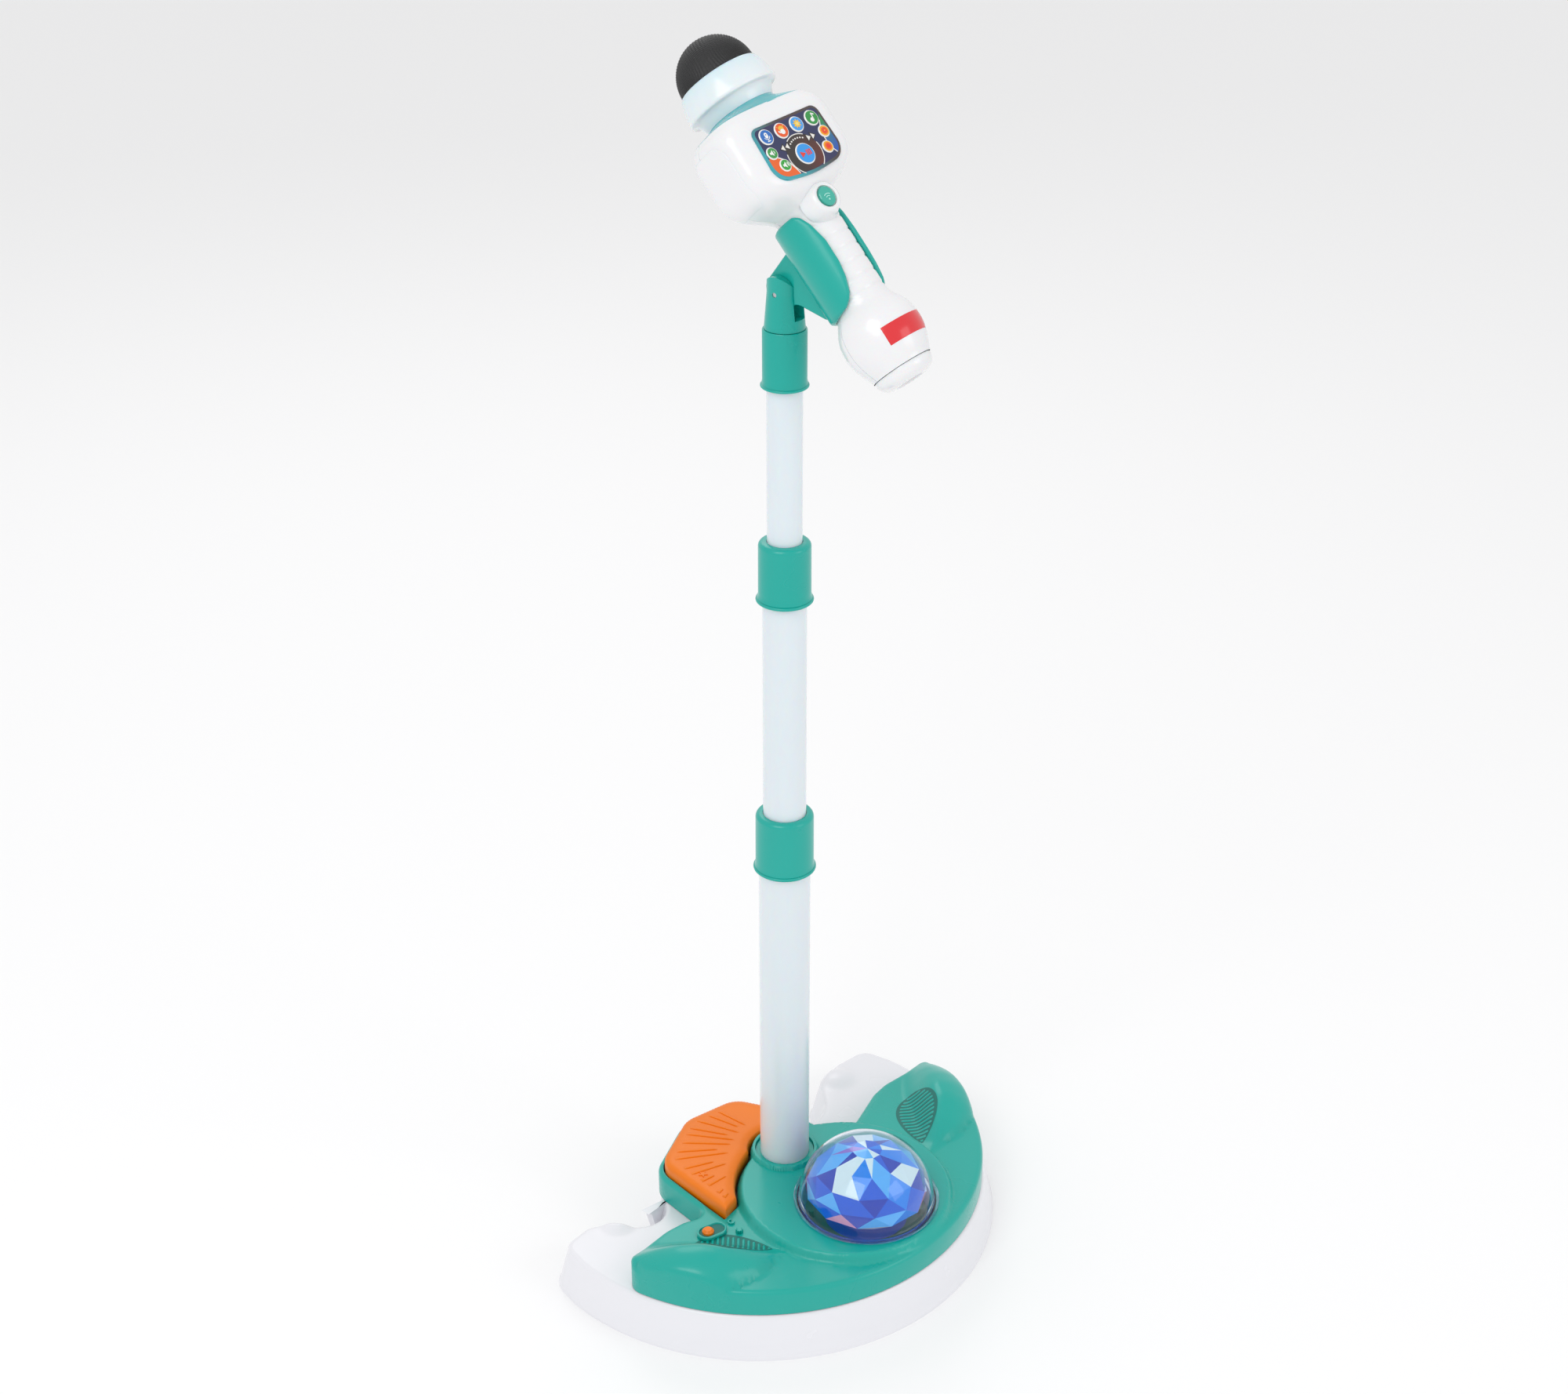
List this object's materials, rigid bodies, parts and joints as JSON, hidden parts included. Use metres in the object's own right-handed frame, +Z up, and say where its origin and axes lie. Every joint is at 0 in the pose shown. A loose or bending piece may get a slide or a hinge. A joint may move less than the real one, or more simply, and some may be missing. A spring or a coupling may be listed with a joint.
{
  "type": "toy stage microphone",
  "caption": "Child's toy microphone held in a clip on a telescopic floor stand, with a winged base that carries a foot pedal and a light-up dome.",
  "frame": {"origin": "where the axis of the pole meets the floor", "axes": "+Z up the pole; the dome is on the -Y side and the foot pedal on the +Y side, where the singer stands; the microphone leans towards +Y"},
  "size_m": [0.3334, 0.2249, 0.8207],
  "materials": {
    "frosted_white": "translucent white, satin",
    "teal_plastic": "satin",
    "milky_tube": "glossy, slightly translucent",
    "white_plastic": "glossy",
    "frosted_ring": "translucent white",
    "clear_tinted": "translucent",
    "orange_plastic": "satin",
    "panel_print": "printed, glossy",
    "blue_key": "printed, glossy",
    "orange_key": "printed, glossy",
    "green_key": "printed, glossy",
    "black_foam": "open cell weave",
    "clear_dome": "clear polycarbonate",
    "blue_crystal": "clear blue, faceted",
    "steel": "plain",
    "black_rubber": "moulded",
    "grey_plastic": "moulded",
    "circuit_board": "printed board",
    "silicone": "plain",
    "speaker_black": "plain",
    "cell_sleeve": "plain sleeve"
  },
  "bodies": {
    "base": {"base_tray": "frosted_white", "base_deck": "teal_plastic", "base_bottom_cover": "grey_plastic", "battery_door": "grey_plastic", "base_batteries": "cell_sleeve", "base_circuit_board": "circuit_board", "speaker_left": "speaker_black", "speaker_right": "speaker_black", "dome_cover": "clear_dome", "projector_tub": "grey_plastic", "projector_motor": "steel", "projector_led_board": "circuit_board", "power_switch_body": "grey_plastic", "base_screws": "steel", "rubber_feet": "black_rubber", "pole_lock_ring": "teal_plastic", "pedal_hinge_pin": "steel", "pedal_springs": "steel", "pedal_switch": "grey_plastic", "lower_tube": "milky_tube", "lower_collar": "teal_plastic"},
    "pedal": {"foot_pedal": "orange_plastic"},
    "rotor": {"crystal_rotor": "blue_crystal", "rotor_gear": "grey_plastic"},
    "pinion": {"motor_pinion": "grey_plastic"},
    "power_knob": {"power_switch_knob": "orange_plastic"},
    "middle": {"middle_tube": "milky_tube", "middle_collar": "teal_plastic", "middle_tube_guide": "grey_plastic"},
    "upper": {"upper_tube": "milky_tube", "upper_tube_guide": "grey_plastic", "mast_socket": "teal_plastic"},
    "fork": {"fork": "teal_plastic", "tilt_pin": "steel"},
    "clip": {"mic_clip": "teal_plastic"},
    "microphone": {"mic_front_shell": "white_plastic", "mic_rear_shell": "white_plastic", "side_cover_left": "white_plastic", "side_cover_right": "white_plastic", "control_panel": "panel_print", "key_mat": "silicone", "mic_circuit_board": "circuit_board", "light_ring": "clear_tinted", "collar_ring": "frosted_ring", "windscreen": "black_foam", "mic_capsule": "grey_plastic", "mic_led_board": "circuit_board", "end_cap": "white_plastic", "mic_battery": "cell_sleeve", "mic_screws": "steel"},
    "key_song": {"key_song": "blue_key"},
    "key_clap": {"key_clap": "orange_key"},
    "key_star": {"key_star": "blue_key"},
    "key_note": {"key_note": "green_key"},
    "key_quieter": {"key_quieter": "green_key"},
    "key_louder": {"key_louder": "green_key"},
    "key_drum": {"key_drum": "orange_key"},
    "key_horn": {"key_horn": "orange_key"},
    "key_play": {"key_play": "blue_key"},
    "mode_button": {"mode_button": "teal_plastic"}
  },
  "joints": [
    {"name": "pedal_press", "type": "hinge", "parent": "base", "child": "pedal", "pos_m": [-0.027, 0.053, 0.041], "axis": [0.9976, 0.0698, 0], "range_deg": [0, 4.5], "stiffness_Nm_per_rad": 3, "springref_deg": -2.86, "deforming": ["pedal_springs"]},
    {"name": "crystal_spin", "type": "hinge", "parent": "base", "child": "rotor", "pos_m": [0, -0.076, 0.045], "axis": [0, 0, 1], "continuous": true},
    {"name": "pinion_spin", "type": "hinge", "parent": "base", "child": "pinion", "pos_m": [0, -0.0924, 0.035], "axis": [0, 0, 1], "continuous": true},
    {"name": "power_slide", "type": "slide", "parent": "base", "child": "power_knob", "axis": [0.9659, -0.2588, 0], "range_m": [0, 0.006]},
    {"name": "middle_slide", "type": "slide", "parent": "base", "child": "middle", "axis": [0, 0, 1], "range_m": [-0.15, 0]},
    {"name": "upper_slide", "type": "slide", "parent": "middle", "child": "upper", "axis": [0, 0, 1], "range_m": [-0.098, 0]},
    {"name": "fork_swivel", "type": "hinge", "parent": "upper", "child": "fork", "pos_m": [0, 0, 0.66], "axis": [0, 0, 1], "continuous": true},
    {"name": "clip_tilt", "type": "hinge", "parent": "fork", "child": "clip", "pos_m": [0, 0, 0.6795], "axis": [0.9925, 0.1219, 0], "range_deg": [-46, 36]},
    {"name": "mic_twist", "type": "hinge", "parent": "clip", "child": "microphone", "pos_m": [0.00385, -0.03137, 0.70746], "axis": [-0.0807, 0.6577, 0.749], "range_deg": [-15, 30]},
    {"name": "key_song_press", "type": "slide", "parent": "microphone", "child": "key_song", "axis": [0.0825, 0.7532, -0.6525], "range_m": [0, 0.001], "stiffness_N_per_m": 400, "springref_m": -0.001},
    {"name": "key_clap_press", "type": "slide", "parent": "microphone", "child": "key_clap", "axis": [0.0825, 0.7532, -0.6525], "range_m": [0, 0.001], "stiffness_N_per_m": 400, "springref_m": -0.001},
    {"name": "key_star_press", "type": "slide", "parent": "microphone", "child": "key_star", "axis": [0.0825, 0.7532, -0.6525], "range_m": [0, 0.001], "stiffness_N_per_m": 400, "springref_m": -0.001},
    {"name": "key_note_press", "type": "slide", "parent": "microphone", "child": "key_note", "axis": [0.0825, 0.7532, -0.6525], "range_m": [0, 0.001], "stiffness_N_per_m": 400, "springref_m": -0.001},
    {"name": "key_quieter_press", "type": "slide", "parent": "microphone", "child": "key_quieter", "axis": [0.0825, 0.7532, -0.6525], "range_m": [0, 0.001], "stiffness_N_per_m": 400, "springref_m": -0.001},
    {"name": "key_louder_press", "type": "slide", "parent": "microphone", "child": "key_louder", "axis": [0.0825, 0.7532, -0.6525], "range_m": [0, 0.001], "stiffness_N_per_m": 400, "springref_m": -0.001},
    {"name": "key_drum_press", "type": "slide", "parent": "microphone", "child": "key_drum", "axis": [0.0825, 0.7532, -0.6525], "range_m": [0, 0.001], "stiffness_N_per_m": 400, "springref_m": -0.001},
    {"name": "key_horn_press", "type": "slide", "parent": "microphone", "child": "key_horn", "axis": [0.0825, 0.7532, -0.6525], "range_m": [0, 0.001], "stiffness_N_per_m": 400, "springref_m": -0.001},
    {"name": "key_play_press", "type": "slide", "parent": "microphone", "child": "key_play", "axis": [0.0825, 0.7532, -0.6525], "range_m": [0, 0.001], "stiffness_N_per_m": 400, "springref_m": -0.001},
    {"name": "mode_button_press", "type": "slide", "parent": "microphone", "child": "mode_button", "axis": [0.0825, 0.7532, -0.6525], "range_m": [0, 0.001], "stiffness_N_per_m": 400, "springref_m": -0.001}
  ],
  "couplings": [
    {"joint": "pinion_spin", "follows": "crystal_spin", "ratio": -3}
  ]
}
